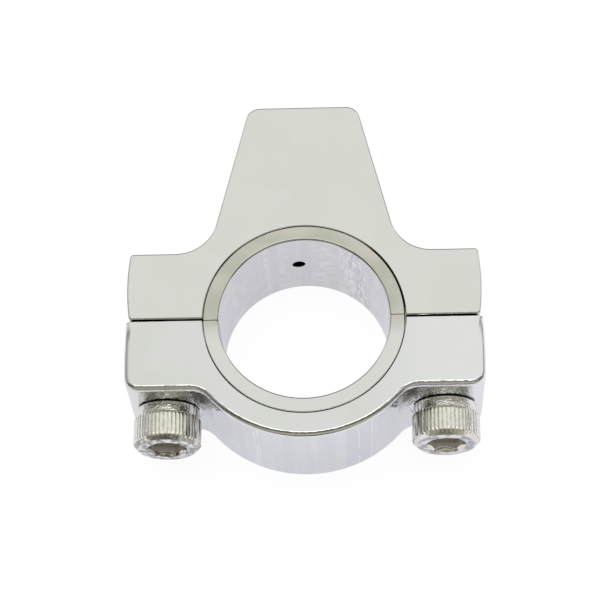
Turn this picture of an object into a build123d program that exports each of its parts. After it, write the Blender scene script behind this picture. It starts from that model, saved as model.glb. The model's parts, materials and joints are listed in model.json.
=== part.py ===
from build123d import *

import os
from math import cos, pi, radians, sin, sqrt, tan

# Mirror mount bracket: a split clamp for a one-inch handlebar with a tapered tab that takes the mirror stem.
# The origin is the centre of the handlebar bore: the bore runs along Z, the tab points along +Y and the screw
# heads along -Y, and the bracket lies on its flat back face.

# Handlebar bore and the split sleeve that lines it
bar_radius = 12.7
sleeve_wall = 2.3
sleeve_clearance = 0.1
sleeve_split = 0.12
sleeve_turn = 0.85
sleeve_edge = 0.1
sleeve_mouth = 0.2

# Sizes that both clamp halves share
clamp_depth = 17.0
split_gap = 0.25
seam_edge = 0.15
seat_edge = 0.1

# Upper clamp half
upper_wing_thickness = 10.775
upper_wing_end = 5.35
upper_wing_bulge = 0.4
upper_wing_corner = 0.6
upper_edge = 0.2

# Mirror tab on the upper half
tab_rise = 20.45
tab_cheek = 3.36
tab_taper = 13.85
tab_corner = 2.2
tab_root_blend = 6.2

# Threaded hole for the mirror stem, and the vent below it
stem_thread_radius = 5.0
stem_drill_radius = 4.375
stem_floor = 3.8
stem_mouth = 0.8
vent_radius = 1.0
vent_offset = 1.0

# Lower clamp half
lower_wing_thickness = 11.075
lower_wing_end = 5.7
lower_wing_bulge = 0.2
lower_wing_corner = 2.3
strap_wall = 3.75
strap_blend = 3.75
lower_edge = 0.5

# Clamp screws and the holes they pass through
screw_radius = 3.0
screw_length = 18.0
screw_tip = 0.6
screw_hole_clearance = 0.3
screw_web = 2.35
spot_face_clearance = 0.25
thread_clearance = 0.05
thread_runout = 1.2
drill_point = 118.0

# Screw heads
head_radius = 5.05
head_length = 6.2
head_band = 1.7
head_band_chamfer = 0.35
head_end_chamfer = 0.5
knurl_count = 48
knurl_depth = 0.3
knurl_step = 0.05
hex_flats = 5.0
hex_depth = 3.2
hex_mouth_angle = 120.0
left_hex_turn = 12.0
right_hex_turn = 0.0

# Radii and places that follow from the sizes above
sleeve_radius = bar_radius + sleeve_wall
seat_radius = sleeve_radius + sleeve_clearance
seam_y = split_gap / 2
shoulder_y = seam_y + upper_wing_thickness
tab_top = seat_radius + tab_rise
tab_x = stem_thread_radius + tab_cheek
tab_root_x = tab_x + (tab_top - shoulder_y) * tan(radians(tab_taper))
strap_radius = seat_radius + strap_wall
underside_y = -seam_y - lower_wing_thickness
screw_hole_radius = screw_radius + screw_hole_clearance
screw_x = seat_radius + screw_web + screw_hole_radius
thread_depth = screw_length - lower_wing_thickness - split_gap + thread_runout
point_slope = tan(radians(drill_point / 2))
knurl_root_radius = head_radius - knurl_depth
band_radius = knurl_root_radius - knurl_step
hex_corner_radius = hex_flats / 2 / cos(radians(30))
hex_mouth_slope = tan(radians(hex_mouth_angle / 2))
stem_depth = tab_rise - stem_floor - stem_drill_radius / point_slope
sides = (-1, 1)


def on_seat(edge):
    """Tell whether an edge is an arc of the bore that the sleeve sits in."""
    return edge.geom_type == GeomType.CIRCLE and abs(edge.radius - seat_radius) < sleeve_clearance / 2


def on_bar(edge):
    """Tell whether an edge is an arc of the bore that the handlebar sits in."""
    return edge.geom_type == GeomType.CIRCLE and abs(edge.radius - bar_radius) < sleeve_clearance / 2


def on_sleeve(edge):
    """Tell whether an edge is an arc of the sleeve's outer wall."""
    return edge.geom_type == GeomType.CIRCLE and abs(edge.radius - sleeve_radius) < sleeve_clearance / 2


def beside_seat(edge):
    """Tell whether an edge of a seam face lies along the bore."""
    return edge.geom_type == GeomType.LINE and abs(edge.center().X) < seat_radius


def on_seam(edge):
    """Tell whether an edge lies in the plane of a clamp half's seam."""
    return abs(abs(edge.center().Y) - seam_y) < split_gap / 10 and edge.geom_type == GeomType.LINE


def drill(mouth, radius, depth, entry):
    """Cut a blind hole with a drill point along the Y direction of a plane that holds its axis."""
    with BuildSketch(mouth) as profile:
        with BuildLine():
            Polyline(
                (0, 0),
                (radius + entry, 0),
                (radius, entry),
                (radius, depth),
                (0, depth + radius / point_slope),
                close=True,
            )
        make_face()
    revolve(profile.sketch, axis=Axis(mouth.origin, mouth.y_dir), mode=Mode.SUBTRACT)


# Upper clamp half with its tab
with BuildPart() as upper_clamp:
    with BuildSketch() as upper_outline:
        with BuildLine():
            end_x = screw_x + upper_wing_end
            wing_middle = (seam_y + shoulder_y) / 2
            ThreePointArc((end_x, seam_y), (end_x + upper_wing_bulge, wing_middle), (end_x, shoulder_y))
            Polyline(
                (end_x, shoulder_y),
                (tab_root_x, shoulder_y),
                (tab_x, tab_top),
                (-tab_x, tab_top),
                (-tab_root_x, shoulder_y),
                (-end_x, shoulder_y),
            )
            ThreePointArc((-end_x, shoulder_y), (-end_x - upper_wing_bulge, wing_middle), (-end_x, seam_y))
            Line((-end_x, seam_y), (end_x, seam_y))
        make_face()
        fillet(upper_outline.vertices().group_by(Axis.Y)[-1], tab_corner)
        fillet(upper_outline.vertices().group_by(Axis.Y)[1].sort_by(Axis.X)[1:3], tab_root_blend)
        shoulders = upper_outline.vertices().group_by(Axis.Y)[1].sort_by(Axis.X)
        fillet([shoulders[0], shoulders[-1]], upper_wing_corner)
        fillet(upper_outline.vertices().group_by(Axis.Y)[0], upper_wing_corner)
        Circle(seat_radius, mode=Mode.SUBTRACT)
    extrude(amount=clamp_depth / 2, both=True)
    chamfer(upper_clamp.faces().filter_by(Plane.XY).edges().filter_by(on_seat, reverse=True), upper_edge)
    chamfer(upper_clamp.edges().filter_by(on_seat), seat_edge)

    # Blind tapped holes for the clamp screws, drilled up from the seam
    for side in sides:
        seam_mouth = Plane(origin=(side * screw_x, seam_y, 0), x_dir=(1, 0, 0), z_dir=(0, 0, 1))
        drill(seam_mouth, screw_radius + thread_clearance, thread_depth, seam_edge)

    # Tapped hole for the mirror stem, drilled down from the tab, and the vent that opens it into the bore
    stem_plane = Plane(origin=(0, tab_top, 0), x_dir=(-1, 0, 0), z_dir=(0, 0, 1))
    drill(stem_plane, stem_drill_radius, stem_depth, stem_mouth)
    with BuildSketch(Plane(origin=(-vent_offset, 0, 0), z_dir=(0, 1, 0))):
        Circle(vent_radius)
    extrude(amount=tab_top - stem_depth, mode=Mode.SUBTRACT)
upper_clamp.part.label = "upper_clamp"

# Lower clamp half: two wings and the strap that passes under the bore
with BuildPart() as lower_clamp:
    with BuildSketch() as lower_outline:
        with BuildLine():
            end_x = screw_x + lower_wing_end
            strap_x = sqrt(strap_radius**2 - underside_y**2)
            wing_middle = (underside_y - seam_y) / 2
            Line((-end_x, -seam_y), (end_x, -seam_y))
            ThreePointArc((end_x, -seam_y), (end_x + lower_wing_bulge, wing_middle), (end_x, underside_y))
            Line((end_x, underside_y), (strap_x, underside_y))
            ThreePointArc((strap_x, underside_y), (0, -strap_radius), (-strap_x, underside_y))
            Line((-strap_x, underside_y), (-end_x, underside_y))
            ThreePointArc((-end_x, underside_y), (-end_x - lower_wing_bulge, wing_middle), (-end_x, -seam_y))
        make_face()
        corners = lower_outline.vertices().group_by(Axis.Y)[0].sort_by(Axis.X)
        fillet([corners[0], corners[-1]], lower_wing_corner)
        fillet(lower_outline.vertices().group_by(Axis.Y)[0].sort_by(Axis.X)[1:3], strap_blend)
        Circle(seat_radius, mode=Mode.SUBTRACT)
    extrude(amount=clamp_depth / 2, both=True)
    rim = lower_clamp.faces().filter_by(Plane.XY).edges().filter_by(on_seat, reverse=True)
    chamfer(rim.filter_by(on_seam, reverse=True), lower_edge)
    seam_faces = lower_clamp.faces().filter_by(Plane.XZ).group_by(Axis.Y)[-1]
    chamfer(seam_faces.edges().filter_by(beside_seat, reverse=True), seam_edge)
    chamfer(lower_clamp.edges().filter_by(on_seat), seat_edge)

    # Spot faces for the screw heads, and clearance holes up through both wings
    for side in sides:
        bearing = Plane(origin=(side * screw_x, underside_y, 0), x_dir=(1, 0, 0), z_dir=(0, -1, 0))
        with BuildSketch(bearing):
            Circle(head_radius + spot_face_clearance)
        extrude(amount=strap_radius + underside_y, mode=Mode.SUBTRACT)
        with BuildSketch(bearing):
            Circle(screw_hole_radius)
        extrude(amount=-lower_wing_thickness, mode=Mode.SUBTRACT)
lower_clamp.part.label = "lower_clamp"

# Split sleeve: two half rings that stand a little turned in the seat, the upper one with the vent through it
sleeve_plane = Plane.XY.rotated((0, 0, sleeve_turn))
with BuildPart() as upper_sleeve:
    with BuildSketch(sleeve_plane):
        Circle(sleeve_radius)
        Circle(bar_radius, mode=Mode.SUBTRACT)
        with Locations((0, sleeve_split / 2)):
            Rectangle(2 * seat_radius, seat_radius, align=(Align.CENTER, Align.MIN), mode=Mode.INTERSECT)
    extrude(amount=clamp_depth / 2, both=True)
    chamfer(upper_sleeve.edges().filter_by(on_bar), sleeve_mouth)
    chamfer(upper_sleeve.edges().filter_by(on_sleeve), sleeve_edge)
    with BuildSketch(Plane(origin=(-vent_offset, 0, 0), z_dir=(0, 1, 0))):
        Circle(vent_radius)
    extrude(amount=seat_radius, mode=Mode.SUBTRACT)
upper_sleeve.part.label = "upper_sleeve"

with BuildPart() as lower_sleeve:
    with BuildSketch(sleeve_plane):
        Circle(sleeve_radius)
        Circle(bar_radius, mode=Mode.SUBTRACT)
        with Locations((0, -sleeve_split / 2)):
            Rectangle(2 * seat_radius, seat_radius, align=(Align.CENTER, Align.MAX), mode=Mode.INTERSECT)
    extrude(amount=clamp_depth / 2, both=True)
    chamfer(lower_sleeve.edges().filter_by(on_bar), sleeve_mouth)
    chamfer(lower_sleeve.edges().filter_by(on_sleeve), sleeve_edge)
lower_sleeve.part.label = "lower_sleeve"

os.makedirs("parts", exist_ok=True)
export_step(upper_clamp.part, "parts/upper_clamp.step")
export_step(lower_clamp.part, "parts/lower_clamp.step")
export_step(upper_sleeve.part, "parts/upper_sleeve.step")
export_step(lower_sleeve.part, "parts/lower_sleeve.step")

# Clamp screws with knurled socket heads, one up through each wing
for side, name, hex_turn in ((-1, "left_screw", left_hex_turn), (1, "right_screw", right_hex_turn)):
    bearing = Plane(origin=(side * screw_x, underside_y, 0), x_dir=(1, 0, 0), z_dir=(0, -1, 0))
    section = Plane(origin=bearing.origin, x_dir=(1, 0, 0), z_dir=(0, 0, -1))
    with BuildPart() as screw:
        # Shank, plain band under the knurl, core of the head and the chamfered land at its end
        with BuildSketch(section):
            with BuildLine():
                Polyline(
                    (0, -screw_length),
                    (screw_radius - screw_tip, -screw_length),
                    (screw_radius, screw_tip - screw_length),
                    (screw_radius, 0),
                    (band_radius - head_band_chamfer, 0),
                    (band_radius, head_band_chamfer),
                    (band_radius, head_length - head_end_chamfer),
                    (band_radius - head_end_chamfer, head_length),
                    (0, head_length),
                    close=True,
                )
            make_face()
        revolve(axis=Axis(section.origin, section.y_dir))

        # Knurl: straight ribs round the head
        with BuildSketch(bearing.offset(head_band)):
            with BuildLine():
                ribs = [
                    (radius * cos(turn + step), radius * sin(turn + step))
                    for turn in (2 * pi * rib / knurl_count for rib in range(knurl_count))
                    for radius, step in ((head_radius, 0), (knurl_root_radius, pi / knurl_count))
                ]
                Polyline(*ribs, close=True)
            make_face()
        extrude(amount=head_length - head_end_chamfer - head_band)

        # Hexagon socket with its countersunk mouth
        with BuildSketch(bearing.offset(head_length)):
            RegularPolygon(hex_flats / 2, 6, major_radius=False, rotation=hex_turn)
        extrude(amount=-hex_depth, mode=Mode.SUBTRACT)
        with BuildSketch(section):
            with BuildLine():
                Polyline(
                    (0, head_length),
                    (hex_corner_radius, head_length),
                    (0, head_length - hex_corner_radius / hex_mouth_slope),
                    close=True,
                )
            make_face()
        revolve(axis=Axis(section.origin, section.y_dir), mode=Mode.SUBTRACT)
    screw.part.label = name
    export_step(screw.part, f"parts/{name}.step")
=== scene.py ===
"""Mirror mount bracket: chromed clamp halves, a turned split sleeve and knurled socket-head screws, lying on
the flat back face in a white studio."""

import json
import logging
import math
from collections.abc import Callable, Iterable, Mapping, Sequence
from dataclasses import dataclass, field, replace
from enum import Enum

import bmesh
import bpy
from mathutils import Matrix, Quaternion, Vector


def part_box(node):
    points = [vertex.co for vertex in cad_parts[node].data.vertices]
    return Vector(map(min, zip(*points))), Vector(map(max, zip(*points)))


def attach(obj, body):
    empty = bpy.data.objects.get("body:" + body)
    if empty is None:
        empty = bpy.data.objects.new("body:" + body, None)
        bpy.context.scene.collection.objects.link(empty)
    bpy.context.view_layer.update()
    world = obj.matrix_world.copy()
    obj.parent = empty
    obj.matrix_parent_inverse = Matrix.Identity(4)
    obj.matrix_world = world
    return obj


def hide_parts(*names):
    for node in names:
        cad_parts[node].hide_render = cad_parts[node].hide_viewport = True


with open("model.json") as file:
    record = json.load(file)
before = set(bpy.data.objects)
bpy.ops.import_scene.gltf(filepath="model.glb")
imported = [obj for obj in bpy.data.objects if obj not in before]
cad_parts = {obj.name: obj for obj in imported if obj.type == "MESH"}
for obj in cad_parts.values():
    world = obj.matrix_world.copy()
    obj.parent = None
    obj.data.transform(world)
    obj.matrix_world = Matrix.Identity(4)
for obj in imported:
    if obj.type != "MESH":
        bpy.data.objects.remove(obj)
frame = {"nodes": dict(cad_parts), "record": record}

log = logging.getLogger("mirror_mount_bracket")

MM = 0.001
BODY = "root"
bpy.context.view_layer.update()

Color = tuple[float, float, float, float]
Socket = bpy.types.NodeSocket
Value = Socket | float | tuple[float, ...]
Inputs = Mapping[str | int, Value]
Stops = tuple[tuple[float, Color], ...]
Bend = tuple[tuple[float, float], ...]
Ring = list[bmesh.types.BMVert]
Row = list[tuple[float, float]]

# A place, level or distance at which an effect starts, and the one at which it is full.
Rise = tuple[float, float]


def box_mm(node: str) -> tuple[Vector, Vector]:
    """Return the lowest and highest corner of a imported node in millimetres."""
    low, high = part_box(node)
    return low / MM, high / MM


def bore_radius() -> float:
    """Return the radius of the handlebar bore in millimetres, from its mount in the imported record."""
    bore = next(entry for entry in frame["record"]["mounts"] if entry["name"] == "handlebar_bore")
    return bore["dims"]["r_mm"]


def grey(level: float) -> Color:
    """Return a neutral colour."""
    return (level, level, level, 1.0)


# Places and sizes of the bracket that its finishes and rims are measured from, in millimetres.
FACE_Z = box_mm("upper_clamp")[1].z
SEAM_Y = box_mm("lower_clamp")[1].y
SLEEVE_RADIUS = box_mm("upper_sleeve")[1].y
SCREW_X = sum(corner.x for corner in box_mm("right_screw")) / 2
HEAD_END = box_mm("right_screw")[0].y
HEAD_LENGTH = 6.2
BEARING = HEAD_END + HEAD_LENGTH

# Levels between which a noise makes most of its swing, and those between which haze thickens.
SWING = (0.35, 0.65)
HAZE_SWING = (0.35, 0.75)

# Tilt towards the front or back at which a surface starts to be a wall along the bore, and is fully one.
WALL_TILT = (0.4, 0.1)


class Slot(Enum):
    """Material slots of the record, one for each kind of piece."""

    CLAMP = "clamp_chrome"
    SLEEVE = "sleeve_chrome"
    SCREW = "screw_steel"


class Wiring:
    """Places and links the nodes of one shader tree."""

    def __init__(self, tree: bpy.types.NodeTree) -> None:
        """Start from a tree."""
        self.tree = tree

    def add(self, kind: str, inputs: Inputs | None = None, **settings: object) -> bpy.types.Node:
        """Place a node.

        Args:
            kind: Kind of the node, without the words ShaderNode.
            inputs: A value or a linked socket for each input that is filled.
            **settings: Properties of the node.

        Returns:
            The node.
        """
        node = self.tree.nodes.new(f"ShaderNode{kind}")
        for name, setting in settings.items():
            setattr(node, name, setting)
        self.fill(node, inputs or {})
        return node

    def fill(self, node: bpy.types.Node, inputs: Inputs) -> None:
        """Fill inputs of a node.

        Args:
            node: The node.
            inputs: A value or a linked socket for each input.
        """
        for key, value in inputs.items():
            if isinstance(value, Socket):
                self.tree.links.new(value, node.inputs[key])
            else:
                node.inputs[key].default_value = value

    def math(self, operation: str, *values: Value) -> Socket:
        """Work out a number."""
        return self.add("Math", dict(enumerate(values)), operation=operation).outputs[0]

    def size(self, value: Value) -> Socket:
        """Drop the sign of a number."""
        return self.math("ABSOLUTE", value)

    def product(self, first: Value, *others: Value) -> Value:
        """Multiply numbers.

        Args:
            first: The first number.
            *others: The others.

        Returns:
            The product's socket.
        """
        result = first
        for other in others:
            result = self.math("MULTIPLY", result, other)
        return result

    def span(self, value: Value, start: float, full: float) -> Socket:
        """Turn a range of a value into a smooth rise from 0 to 1. It may run up or down the value."""
        inputs = {"Value": value, "From Min": start, "From Max": full}
        return self.add("MapRange", inputs, interpolation_type="SMOOTHSTEP").outputs[0]

    def window(self, value: Value, low: float, high: float, fade: float) -> Value:
        """Mark a range of a value, and let the mark fade out on both sides of it."""
        return self.product(self.span(value, low - fade, low), self.span(value, high + fade, high))

    def mix(self, share: Value, first: Value, second: Value) -> Socket:
        """Mix two colours by the share of the second."""
        return self.add("Mix", {0: share, 6: first, 7: second}, data_type="RGBA").outputs[2]

    def stretched(self, place: Value, shares: Value) -> Socket:
        """Scale a place by a share along each axis."""
        return self.add("VectorMath", {0: place, 1: shares}, operation="MULTIPLY").outputs[0]

    def reach(self, across: Value, along: Value) -> Socket:
        """Measure how far two steps at right angles lead."""
        steps = self.add("CombineXYZ", {0: across, 1: along})
        return self.add("VectorMath", {0: steps.outputs[0]}, operation="LENGTH").outputs["Value"]

    def noise(self, place: Value, scale: Value, detail: Value, roughness: float = 0.5) -> Socket:
        """Place a noise.

        Args:
            place: The place on the surface, in metres.
            scale: Scale of the noise, per metre.
            detail: Number of finer levels.
            roughness: Strength of each level as a share of the one before.

        Returns:
            The noise's socket.
        """
        inputs = {"Vector": place, "Scale": scale, "Detail": detail, "Roughness": roughness}
        return self.add("TexNoise", inputs).outputs["Fac"]

    def ramp(self, value: Value, stops: Stops) -> Socket:
        """Turn a value into a colour.

        Args:
            value: The value.
            stops: Value and colour of each stop.

        Returns:
            The colour's socket.
        """
        node = self.add("ValToRGB", {"Fac": value})
        elements = node.color_ramp.elements
        for _ in range(len(stops) - len(elements)):
            elements.new(1.0)
        for element, (place, color) in zip(elements, stops):
            element.position = place
            element.color = color
        return node.outputs["Color"]


class Groups:
    """Shader node groups for the effects that more than one finish uses."""

    def __init__(self) -> None:
        """Build every group once."""
        self.waves = self._waves()
        self.marks = self._marks()
        self.clouds = self._clouds()
        self.streaks = self._streaks()

    @staticmethod
    def _start(name: str, inputs: Mapping[str, float | tuple[float, ...]]) -> tuple[Wiring, dict]:
        """Start a group that takes a place on the surface and other named inputs.

        Args:
            name: Name of the group.
            inputs: Name and default value of each input but the place.

        Returns:
            The group's wiring and the socket of each input.
        """
        kinds = {3: "NodeSocketVector", 4: "NodeSocketColor"}
        inputs = {"Vector": (0.0, 0.0, 0.0), **inputs}
        tree = bpy.data.node_groups.new(name, "ShaderNodeTree")
        for label, value in inputs.items():
            kind = "NodeSocketFloat" if isinstance(value, float) else kinds[len(value)]
            tree.interface.new_socket(name=label, in_out="INPUT", socket_type=kind).default_value = value
        given = tree.nodes.new("NodeGroupInput")
        return Wiring(tree), {label: given.outputs[label] for label in inputs}

    @staticmethod
    def _close(wiring: Wiring, outputs: Mapping[str, Socket]) -> bpy.types.NodeTree:
        """Give a group its outputs.

        Args:
            wiring: The group's wiring.
            outputs: Name and source of each output.

        Returns:
            The group.
        """
        kinds = {"VALUE": "NodeSocketFloat", "RGBA": "NodeSocketColor"}
        for label, source in outputs.items():
            kind = kinds[source.type]
            wiring.tree.interface.new_socket(name=label, in_out="OUTPUT", socket_type=kind)
        wiring.fill(wiring.tree.nodes.new("NodeGroupOutput"), outputs)
        return wiring.tree

    def _waves(self) -> bpy.types.NodeTree:
        """Build the group for the soft unevenness that polishing leaves, as a height.

        Returns:
            The group.
        """
        inputs = {"Broad Scale": 60.0, "Fine Scale": 400.0, "Fine Share": 0.2}
        wiring, given = self._start("polish_waves", inputs)
        broad = wiring.noise(given["Vector"], given["Broad Scale"], detail=1.0)
        fine = wiring.noise(given["Vector"], given["Fine Scale"], detail=2.0)
        height = wiring.add("Mix", {0: given["Fine Share"], 2: broad, 3: fine})
        return self._close(wiring, {"Height": height.outputs[0]})

    def _marks(self) -> bpy.types.NodeTree:
        """Build the group for the slight haze that handling leaves, as a roughness.

        Returns:
            The group.
        """
        wiring, given = self._start("handling_marks", {"Scale": 300.0, "Clean": 0.05, "Hazy": 0.15})
        haze = wiring.noise(given["Vector"], given["Scale"], detail=6.0, roughness=0.65)
        levels = {"Value": haze, "From Min": HAZE_SWING[0], "From Max": HAZE_SWING[1]}
        rough = wiring.add("MapRange", {**levels, "To Min": given["Clean"], "To Max": given["Hazy"]})
        return self._close(wiring, {"Roughness": rough.outputs[0]})

    def _clouds(self) -> bpy.types.NodeTree:
        """Build the group for plating that shifts between two tints, as a colour.

        Returns:
            The group.
        """
        inputs = {"Scale": 60.0, "Detail": 2.0, "First": grey(0.8), "Second": grey(0.7)}
        wiring, given = self._start("plating_clouds", inputs)
        share = wiring.span(wiring.noise(given["Vector"], given["Scale"], given["Detail"]), *SWING)
        return self._close(wiring, {"Color": wiring.mix(share, given["First"], given["Second"])})

    def _streaks(self) -> bpy.types.NodeTree:
        """Build the group for streaks along the bore, with the mask of the walls that they keep to.

        Returns:
            The group.
        """
        inputs = {"Normal": (0.0, 0.0, 1.0), "Scale": 500.0, "Stretch": 0.05}
        wiring, given = self._start("wall_streaks", inputs)
        shares = wiring.add("CombineXYZ", {0: 1.0, 1: 1.0, 2: given["Stretch"]})
        place = wiring.stretched(given["Vector"], shares.outputs[0])
        tilt = wiring.size(wiring.add("SeparateXYZ", {0: given["Normal"]}).outputs["Z"])
        wall = wiring.span(tilt, *WALL_TILT)
        noise = wiring.noise(place, given["Scale"], detail=3.0)
        streak = wiring.product(wiring.span(noise, *SWING), wall)
        return self._close(wiring, {"Streak": streak, "Wall": wall})


class Surface(Wiring):
    """The wiring of one finish, with the surface's own place and direction at hand.

    The place that a noise takes is in metres, and x, y and z are in millimetres.
    """

    def __init__(self, tree: bpy.types.NodeTree, groups: Groups) -> None:
        """Start from a material's tree.

        Args:
            tree: The tree.
            groups: The shared node groups.
        """
        super().__init__(tree)
        self.groups = groups
        coordinates = self.add("TexCoord")
        self.place = coordinates.outputs["Object"]
        self.normal = coordinates.outputs["Normal"]
        millimetres = self.stretched(self.place, (1 / MM, 1 / MM, 1 / MM))
        self.x, self.y, self.z = self.add("SeparateXYZ", {0: millimetres}).outputs
        streaks = self.group(groups.streaks, {"Normal": self.normal})
        self.streak = streaks.outputs["Streak"]
        self.walls = streaks.outputs["Wall"]

    def group(self, tree: bpy.types.NodeTree, inputs: Inputs) -> bpy.types.Node:
        """Lay a shared group over the surface.

        Args:
            tree: The group.
            inputs: A value or a socket for each input but the place.

        Returns:
            The node that holds the group.
        """
        node = self.add("Group", node_tree=tree)
        self.fill(node, {"Vector": self.place, **inputs})
        return node

    def uneven(self, height: Value, pattern: Socket, share: Value) -> Socket:
        """Add a share of a pattern to a height, up and down from the pattern's middle."""
        return self.math("MULTIPLY_ADD", self.math("SUBTRACT", pattern, 0.5), share, height)


@dataclass(frozen=True)
class RoughBand:
    """A band across the Y axis that was left rough. Places are in millimetres.

    Attributes:
        low: Its lowest place on the Y axis.
        high: Its highest place.
        scale: Scale of its texture, per metre.
        share: Height of its texture as a share of the polishing waves.
        fade: Distance over which it fades out.
    """

    low: float
    high: float
    scale: float
    share: float
    fade: float = 0.2


@dataclass(frozen=True, kw_only=True)
class MetalFinish:
    """A plated metal finish. Scales are per metre, and places and heights in millimetres.

    Attributes:
        name: Name of the material.
        first: Tint of the plating.
        second: Tint that the plating shifts to.
        cloud_scale: Scale of the shift between the tints.
        streak: Tint of the streaks on the walls along the bore.
        seam_shade: Dark tint of the seam faces and of the walls along the seam, a painted shade where the
            halves meet.
        seam_half: Distance from the seam's middle within which they lie.
        clean: Roughness where the metal is clean.
        hazy: Roughness where it is hazed by handling.
        mark_scale: Scale of the haze.
        wave_scale: Scale of the broad polishing waves.
        fine_scale: Scale of the fine texture.
        fine_share: Share of the fine texture in the height.
        wave_height: Height of the unevenness.
        rough: Band that was left rough, if there is one.
    """

    name: str
    first: Color
    second: Color
    cloud_scale: float
    streak: Color
    seam_shade: Color = grey(0.35)
    seam_half: float = 0.2
    clean: float = 0.03
    hazy: float = 0.08
    mark_scale: float = 500.0
    wave_scale: float = 45.0
    fine_scale: float = 900.0
    fine_share: float = 0.03
    wave_height: float = 0.15
    rough: RoughBand | None = None

    def build(self, groups: Groups) -> bpy.types.Material:
        """Build the material.

        Args:
            groups: The shared node groups.

        Returns:
            The material.
        """
        material = bpy.data.materials.new(self.name)
        material.use_nodes = True
        surface = Surface(material.node_tree, groups)
        unevenness = {"Distance": self.wave_height * MM, "Height": self._height(surface)}
        surface.fill(
            material.node_tree.nodes["Principled BSDF"],
            {
                "Metallic": self._metallic(surface),
                "Base Color": self._tint(surface),
                "Roughness": self._roughness(surface),
                "Normal": surface.add("Bump", unevenness).outputs["Normal"],
            },
        )
        return material

    def _metallic(self, surface: Surface) -> Value:
        """Leave the surface bare metal all over."""
        return 1.0

    def _tint(self, surface: Surface) -> Socket:
        """Tint the metal.

        Args:
            surface: The material's wiring.

        Returns:
            The colour's socket.
        """
        tints = {"Scale": self.cloud_scale, "First": self.first, "Second": self.second}
        clouds = surface.group(surface.groups.clouds, tints)
        polished = surface.mix(surface.streak, clouds.outputs["Color"], self.streak)
        # Painted shade: the seam faces and the walls along the seam are darkened where the halves meet.
        seam = surface.math("LESS_THAN", surface.size(surface.y), self.seam_half)
        return surface.mix(surface.product(seam, surface.walls), polished, self.seam_shade)

    def _roughness(self, surface: Surface) -> Socket:
        """Haze the metal a little where it was handled."""
        haze = {"Scale": self.mark_scale, "Clean": self.clean, "Hazy": self.hazy}
        return surface.group(surface.groups.marks, haze).outputs["Roughness"]

    def _height(self, surface: Surface) -> Socket:
        """Give the metal its unevenness, with the texture of the rough band on top.

        Args:
            surface: The material's wiring.

        Returns:
            The height's socket.
        """
        scales = {"Broad Scale": self.wave_scale, "Fine Scale": self.fine_scale}
        waves = surface.group(surface.groups.waves, {**scales, "Fine Share": self.fine_share})
        height = waves.outputs["Height"]
        if self.rough is None:
            return height
        grain = surface.noise(surface.place, self.rough.scale, detail=1.0)
        share = surface.product(self._rough_mask(surface), self.rough.share)
        return surface.uneven(height, grain, share)

    def _rough_mask(self, surface: Surface) -> Value:
        """Mark the band that was left rough."""
        return surface.window(surface.y, self.rough.low, self.rough.high, self.rough.fade)


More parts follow.
